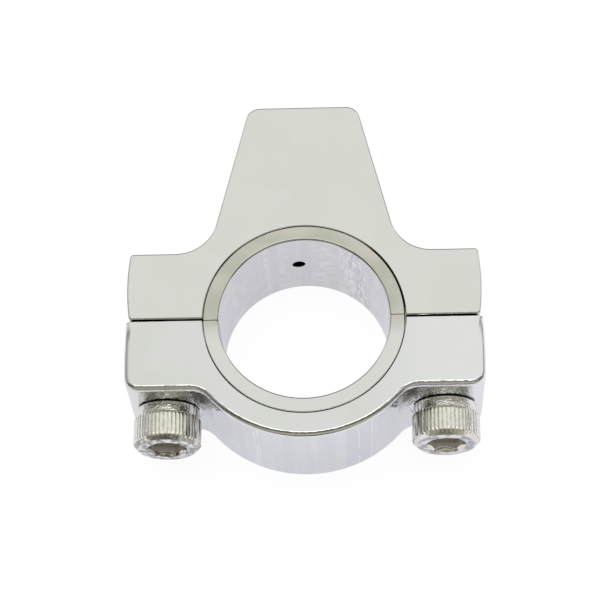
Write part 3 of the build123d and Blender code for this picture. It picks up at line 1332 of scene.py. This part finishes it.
@dataclass
class KnurledScrew:
    """A socket-head cap screw with straight knurling.

    Sizes are in millimetres, and heights run from the bearing face towards the socket end.

    Attributes:
        node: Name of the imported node.
        finish: The screw's finish.
        hex_turn: Turn of the hexagon about the screw's axis, in degrees.
        head_length: Height of the head, from the bearing face to the socket end.
        ribs: Number of knurled ribs.
        rib_depth: Depth of the grooves between the ribs.
        groove_power: Power by which a rib falls off to its grooves: more makes them narrower.
        columns: Faces round the head for each rib.
        rows: Faces along the knurl, and along its tapered end.
        band: Height of the plain band under the knurl.
        band_step: Step from the band to the bottom of the grooves.
        band_round: Size of the rounding at the bearing face.
        band_bend: Its points, each as shares of that size inwards and up.
        rib_start: Distance from the band at which the ribs are full.
        rib_shoulder: Distance from the band, and share of the ribs' depth, at which they round over.
        end_chamfer: Chamfer at the socket end, measured from the bottom of the grooves.
        end_round: Size of the rounding between the chamfer and the end face.
        end_bend: Its points, each as shares of that size inwards and down.
        hex_flats: Size of the hexagon across its flats.
        hex_depth: Depth of the hexagon.
        hex_lip: Size of the rounding between the hexagon and its mouth.
        lip_bend: Its points, each as shares of that size outwards and up.
        lip_step: Least step inwards from the mouth to the first of them, and from each to the next.
        point_step: Steps inwards and down from the hexagon's flats to the start of its drill point.
        hex_point: Depth of the drill point under the hexagon.
        mouth: Radius of the countersunk mouth.
        thread: The shank's thread.
        tip_chamfer: Chamfer at the shank's end.
        sharp_angle: Angle past which an edge is sharp, in degrees.
        foot: Middle of the bearing face.
        head_radius: Radius over the ribs.
        shank_length: Length under the head.
    """

    node: str
    finish: ScrewFinish
    hex_turn: float
    head_length: float = HEAD_LENGTH
    ribs: int = 48
    rib_depth: float = 0.25
    groove_power: float = 6.0
    columns: int = 8
    rows: int = 8
    band: float = 1.7
    band_step: float = 0.05
    band_round: float = 0.35
    band_bend: Bend = ((1.0, 0.0), (0.3, 0.2), (0.0, 0.85))
    rib_start: float = 0.16
    rib_shoulder: tuple[float, float] = (0.06, 0.75)
    end_chamfer: float = 0.5
    end_round: float = 0.1
    end_bend: Bend = ((-0.3, 0.3), (0.4, 0.0))
    hex_flats: float = 5.0
    hex_depth: float = 3.2
    hex_lip: float = 0.3
    lip_bend: Bend = ((0.7, 0.7), (0.2, 0.0), (0.0, -1.0))
    lip_step: float = 0.01
    point_step: tuple[float, float] = (0.25, 0.05)
    hex_point: float = 1.3
    mouth: float = 2.98
    thread: Thread = Thread(pitch=1.0, crest=3.0, depth=0.613)
    tip_chamfer: float = 0.6
    sharp_angle: float = 40.0
    foot: Vector = field(init=False)
    head_radius: float = field(init=False)
    shank_length: float = field(init=False)

    def __post_init__(self) -> None:
        """Take the screw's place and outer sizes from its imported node."""
        low, high = box_mm(self.node)
        self.foot = Vector(((low.x + high.x) / 2, low.y + self.head_length, (low.z + high.z) / 2))
        self.head_radius = (high.x - low.x) / 2
        self.shank_length = high.y - self.foot.y

    @property
    def count(self) -> int:
        """Number of columns round the head."""
        return self.ribs * self.columns

    @property
    def root(self) -> float:
        """Radius at the bottom of the grooves."""
        return self.head_radius - self.rib_depth

    def build(self, groups: Groups) -> bpy.types.Object:
        """Build the screw and put it in place of its node.

        Args:
            groups: The shared node groups.

        Returns:
            The piece.
        """
        mesh = bmesh.new()
        bearing = [
            mesh.edges.get((loop[i], loop[(i + 1) % len(loop)]))
            for loop in (self._head(mesh), self._shank(mesh))
            for i in range(len(loop))
        ]
        bmesh.ops.triangle_fill(mesh, use_beauty=True, edges=bearing)
        bmesh.ops.recalc_face_normals(mesh, faces=mesh.faces)
        mark_sharp_edges(mesh, self.sharp_angle)
        return finished_piece(self.node, "knurled", mesh, self.finish.build(groups))

    def _place(self, angle: float, radius: float, height: float) -> Vector:
        """Give a point of the screw in the frame, in metres."""
        across = Vector((math.cos(angle) * radius, -height, math.sin(angle) * radius))
        return (self.foot + across) * MM

    def _head(self, mesh: bmesh.types.BMesh) -> Ring:
        """Build the head and its socket.

        Args:
            mesh: The screw's mesh.

        Returns:
            The ring at the bearing face.
        """
        turn = math.radians(self.hex_turn)
        angles = [turn + 2 * math.pi * i / self.count for i in range(self.count)]
        rings = [
            ring(mesh, (self._place(angle, *point) for angle, point in zip(angles, row)))
            for row in (*self._band_rows(), *self._knurl_rows(), *self._end_rows(), *self._socket_rows())
        ]
        skin(mesh, rings)
        last = rings[-1]
        bottom = self.head_length - self.hex_depth - self.hex_point
        tip = mesh.verts.new(self._place(0.0, 0.0, bottom))
        for i, vertex in enumerate(last):
            mesh.faces.new((vertex, last[(i + 1) % self.count], tip))
        return rings[0]

    def _band_rows(self) -> list[Row]:
        """Give the rows of the plain band, with the radius and height of each column.

        Returns:
            The rows.
        """
        band = self.root - self.band_step
        edge = self.band_round
        profile = (
            *((band - edge * inward, edge * up) for inward, up in self.band_bend),
            (band, self.band / 2),
            (band, self.band - self.band_step),
            (self.root, self.band),
        )
        return [[point] * self.count for point in profile]

    def _knurl_rows(self) -> list[Row]:
        """Give the rows of the knurl, which tapers to the bottom of the grooves at its end.

        Returns:
            The rows.
        """
        off_rib = (abs((i / self.columns + 0.5) % 1.0 - 0.5) * 2 for i in range(self.count))
        knurl = [self.head_radius - self.rib_depth * off**self.groove_power for off in off_rib]
        start = self.band + self.rib_start
        end = self.head_length - self.end_chamfer - self.rib_depth
        rise, share = self.rib_shoulder
        rows = [[(self.root + share * (r - self.root), self.band + rise) for r in knurl]]
        for step in range(self.rows + 1):
            height = start + (end - start) * step / self.rows
            rows.append([(r, height) for r in knurl])
        for step in range(1, self.rows + 1):
            taper = self.rib_depth * step / self.rows
            rows.append([(min(r, self.head_radius - taper), end + taper) for r in knurl])
        return rows

    def _end_rows(self) -> list[Row]:
        """Give the rows of the chamfer and the rounding at the head's end.

        Returns:
            The rows.
        """
        cone = self.head_length - self.end_chamfer
        tip = self.root - self.end_chamfer
        reach = self.end_chamfer - self.end_round
        edge = self.end_round
        profile = (
            (self.root - reach / 2, cone + reach / 2),
            (self.root - reach, cone + reach),
            *((tip - edge * inward, self.head_length - edge * down) for inward, down in self.end_bend),
        )
        return [[point] * self.count for point in profile]

    def _socket_rows(self) -> list[Row]:
        """Give the rows of the countersunk mouth and the hexagon. The lip keeps just inside the mouth.

        Returns:
            The rows.
        """
        sixth = math.pi / 3
        half = self.hex_flats / 2
        lip = self.hex_lip
        floor = self.head_length - self.hex_depth
        angles = (2 * math.pi * i / self.count for i in range(self.count))
        wall = [half / math.cos(angle % sixth - sixth / 2) for angle in angles]
        start = [(r, self.head_length - (self.mouth - r)) for r in wall]
        rows = [[(self.mouth, self.head_length)] * self.count]
        for step, (outward, up) in enumerate(self.lip_bend, start=1):
            limit = self.mouth - self.lip_step * step
            rows.append([(min(r + lip * outward, limit), h + lip * up) for r, h in start])
        rows.append([(r, (h + floor) / 2) for r, h in start])
        rows.append([(r, floor) for r in wall])
        inward, down = self.point_step
        rows.append([(half - inward, floor - down)] * self.count)
        return rows

    def _shank(self, mesh: bmesh.types.BMesh) -> Ring:
        """Build the threaded shank.

        Args:
            mesh: The screw's mesh.

        Returns:
            The ring where the shank meets the bearing face.
        """
        thread = self.thread

        def radius(along: float, turn: float) -> float:
            """Run the thread in from the plain neck, and chamfer it at the tip.

            Args:
                along: Distance from the bearing face.
                turn: Share of a turn about the axis.

            Returns:
                The radius.
            """
            run_in = min(1.0, along / thread.pitch)
            limit = thread.crest - max(0.0, self.tip_chamfer - self.shank_length + along)
            return min(thread.crest - run_in * (thread.crest - thread.radius(along, turn)), limit)

        def place(angle: float, reach: float, along: float) -> Vector:
            """Give a point of the shank in metres."""
            return self._place(angle, reach, -along)

        rings = thread.wall(mesh, self.shank_length, radius, place)
        mesh.faces.new(rings[-1])
        return rings[0]


@dataclass(frozen=True)
class Studio:
    """The white studio: floor, surrounding light, lamp and camera.

    Places are in millimetres. The light tent is given by direction, from -1 to 1 along each axis, with its
    ramps' stops from 0 to 1 instead.

    Attributes:
        floor_half: Half the floor's width.
        floor_gap: Gap between the floor and the back face, so that the two don't share a plane.
        paper: Colour of the floor's paper.
        paper_roughness: Its roughness.
        paper_seen: Share of plain light in the paper as the camera sees it.
        paper_mirrored: The same as the metal mirrors it.
        paper_glow: Colour of that light in the metal.
        paper_strength: Its strength.
        tent_y: Light of the tent from the screw heads' side to the tab's side.
        tent_x: Share of it from left to right.
        corner: Light of the dark corner of the tent.
        corner_rises: Where the corner starts and is full along X and Y.
        flash: Light of the bright strip overhead.
        flash_y: Lowest and highest place of the strip on the Y axis.
        flash_fade: Distance over which it fades out there.
        flash_rise: Distance from the middle along X at which it starts and is full.
        camera_place: Where the camera stands.
        camera_target: The point of the front face at the picture's centre.
        camera_roll: Turn of the camera about its line of sight, in degrees.
        lens: Focal length on a sensor of the given width.
        sensor: Width of the sensor.
        lamp_place: Where the soft lamp hangs.
        lamp_size: Width of the soft lamp.
        lamp_power: Power of the soft lamp in watts.
    """

    floor_half: float = 3000.0
    floor_gap: float = 0.02
    paper: Color = (0.93, 0.93, 0.95, 1.0)
    paper_roughness: float = 0.9
    paper_seen: float = 0.9
    paper_mirrored: float = 0.74
    paper_glow: Color = (0.775, 0.775, 0.83, 1.0)
    paper_strength: float = 1.05
    tent_y: Stops = (
        (0.0, grey(0.04)),
        (0.02, (0.09, 0.09, 0.08, 1.0)),
        (0.07, (0.40, 0.39, 0.33, 1.0)),
        (0.19, (0.42, 0.41, 0.34, 1.0)),
        (0.30, (0.12, 0.11, 0.09, 1.0)),
        (0.40, (0.13, 0.12, 0.10, 1.0)),
        (0.45, (0.40, 0.40, 0.36, 1.0)),
        (0.49, (0.775, 0.785, 0.76, 1.0)),
        (0.80, (0.78, 0.79, 0.76, 1.0)),
        (0.84, grey(1.1)),
        (0.88, grey(0.25)),
        (1.0, grey(0.12)),
    )
    tent_x: Stops = (
        (0.0, grey(0.35)),
        (0.06, grey(0.42)),
        (0.22, grey(0.80)),
        (0.38, grey(1.0)),
        (0.75, grey(1.02)),
        (0.90, grey(0.90)),
        (0.95, grey(0.30)),
        (1.0, grey(0.25)),
    )
    corner: Color = grey(0.30)
    corner_rises: tuple[Rise, Rise] = ((0.54, 0.66), (0.50, 0.58))
    flash: Color = grey(1.7)
    flash_y: tuple[float, float] = (-0.04, 0.14)
    flash_fade: float = 0.08
    flash_rise: Rise = (0.34, 0.20)
    camera_place: tuple[float, float, float] = (9.14, -128.31, 300.83)
    camera_target: tuple[float, float, float] = (-0.577, 2.798, 8.5)
    camera_roll: float = -4.965
    lens: float = 129.365
    sensor: float = 36.0
    lamp_place: tuple[float, float, float] = (-120.0, 200.0, 900.0)
    lamp_size: float = 700.0
    lamp_power: float = 4.0

    def build(self) -> None:
        """Build the whole studio."""
        self._floor()
        self._surroundings()
        self._lamp()
        self._camera()

    def _floor(self) -> None:
        """Lay white paper under the back face."""
        height = box_mm("upper_clamp")[0].z - self.floor_gap
        half = self.floor_half
        corners = [(-half, -half), (half, -half), (half, half), (-half, half)]
        mesh = bpy.data.meshes.new("studio_floor")
        mesh.from_pydata([Vector((x, y, height)) * MM for x, y in corners], [], [(0, 1, 2, 3)])
        mesh.materials.append(self._paper())
        floor = bpy.data.objects.new("studio_floor", mesh)
        bpy.context.scene.collection.objects.link(floor)

    def _paper(self) -> bpy.types.Material:
        """Make the paper. The camera sees it white, and the metal sees it shaded.

        Returns:
            The material.
        """
        material = bpy.data.materials.new("white_paper")
        material.use_nodes = True
        nodes = material.node_tree.nodes
        wiring = Wiring(material.node_tree)
        plain = nodes["Principled BSDF"]
        wiring.fill(plain, {"Base Color": self.paper, "Roughness": self.paper_roughness})
        wiring.fill(plain, {"Specular IOR Level": 0.0})
        path = wiring.add("LightPath").outputs
        seen = wiring.product(path["Is Camera Ray"], self.paper_seen)
        mirrored = wiring.product(path["Is Glossy Ray"], self.paper_mirrored)
        color = wiring.mix(path["Is Glossy Ray"], grey(1.0), self.paper_glow)
        glow = wiring.add("Emission", {"Color": color, "Strength": self.paper_strength})
        share = wiring.math("MAXIMUM", seen, mirrored)
        paper = wiring.add("MixShader", {0: share, 1: plain.outputs[0], 2: glow.outputs[0]})
        wiring.fill(nodes["Material Output"], {"Surface": paper.outputs[0]})
        return material

    def _surroundings(self) -> None:
        """Surround the set with the light tent, which the camera sees plain white."""
        world = bpy.data.worlds.new("light_tent")
        bpy.context.scene.world = world
        world.use_nodes = True
        nodes = world.node_tree.nodes
        wiring = Wiring(world.node_tree)
        tent = nodes["Background"]
        wiring.fill(tent, {"Color": self._tent_light(wiring)})
        white = wiring.add("Background", {"Color": grey(1.0), "Strength": 1.0})
        seen = wiring.add("LightPath").outputs["Is Camera Ray"]
        blend = wiring.add("MixShader", {0: seen, 1: tent.outputs[0], 2: white.outputs[0]})
        wiring.fill(nodes["World Output"], {"Surface": blend.outputs[0]})

    def _tent_light(self, wiring: Wiring) -> Socket:
        """Make the tent bright behind the bracket and dark round the camera, with a bright strip overhead.

        Args:
            wiring: The world's wiring.

        Returns:
            The light's socket.
        """
        direction = wiring.add("TexCoord").outputs["Generated"]
        x, y, _ = wiring.add("SeparateXYZ", {0: direction}).outputs
        shades = {
            socket: wiring.ramp(wiring.math("MULTIPLY_ADD", axis, 0.5, 0.5), stops)
            for socket, axis, stops in ((6, y, self.tent_y), (7, x, self.tent_x))
        }
        tent = wiring.add("Mix", {0: 1.0, **shades}, data_type="RGBA", blend_type="MULTIPLY")
        corner_x, corner_y = self.corner_rises
        corner = wiring.product(wiring.span(x, *corner_x), wiring.span(y, *corner_y))
        shaded = wiring.mix(corner, tent.outputs[2], self.corner)
        across = wiring.span(wiring.size(x), *self.flash_rise)
        strip = wiring.product(wiring.window(y, *self.flash_y, self.flash_fade), across)
        return wiring.mix(strip, shaded, self.flash)

    def _lamp(self) -> None:
        """Hang one large soft lamp over the set."""
        lamp = bpy.data.lights.new("top_softbox", "AREA")
        lamp.size = self.lamp_size * MM
        lamp.energy = self.lamp_power
        top = bpy.data.objects.new("top_softbox", lamp)
        bpy.context.scene.collection.objects.link(top)
        top.location = Vector(self.lamp_place) * MM
        top.rotation_mode = "QUATERNION"
        top.rotation_quaternion = (-top.location).to_track_quat("-Z", "Y")
        top.visible_glossy = False

    def _camera(self) -> None:
        """Stand the camera above and in front of the bracket."""
        data = bpy.data.cameras.new("camera")
        data.sensor_width = self.sensor
        data.lens = self.lens
        camera = bpy.data.objects.new("camera", data)
        bpy.context.scene.collection.objects.link(camera)
        camera.location = Vector(self.camera_place) * MM
        sight = (Vector(self.camera_target) - Vector(self.camera_place)).to_track_quat("-Z", "Y")
        roll = Quaternion((0.0, 0.0, 1.0), math.radians(self.camera_roll))
        camera.rotation_mode = "QUATERNION"
        camera.rotation_quaternion = sight @ roll
        bpy.context.scene.camera = camera
        bpy.context.scene.view_settings.view_transform = "Standard"


def main() -> None:
    """Build the bracket piece by piece, then its studio."""
    logging.basicConfig(level=logging.INFO)
    groups = Groups()
    pieces = [
        *Clamp().build(groups),
        *Sleeve().build(groups),
        KnurledScrew("left_screw", SCREW_NICKEL, hex_turn=-9.0).build(groups),
        KnurledScrew("right_screw", RIGHT_NICKEL, hex_turn=-3.0).build(groups),
    ]
    Studio().build()
    for piece in pieces:
        log.info("%s: %d faces", piece.name, len(piece.data.polygons))


if __name__ == "__main__":
    main()
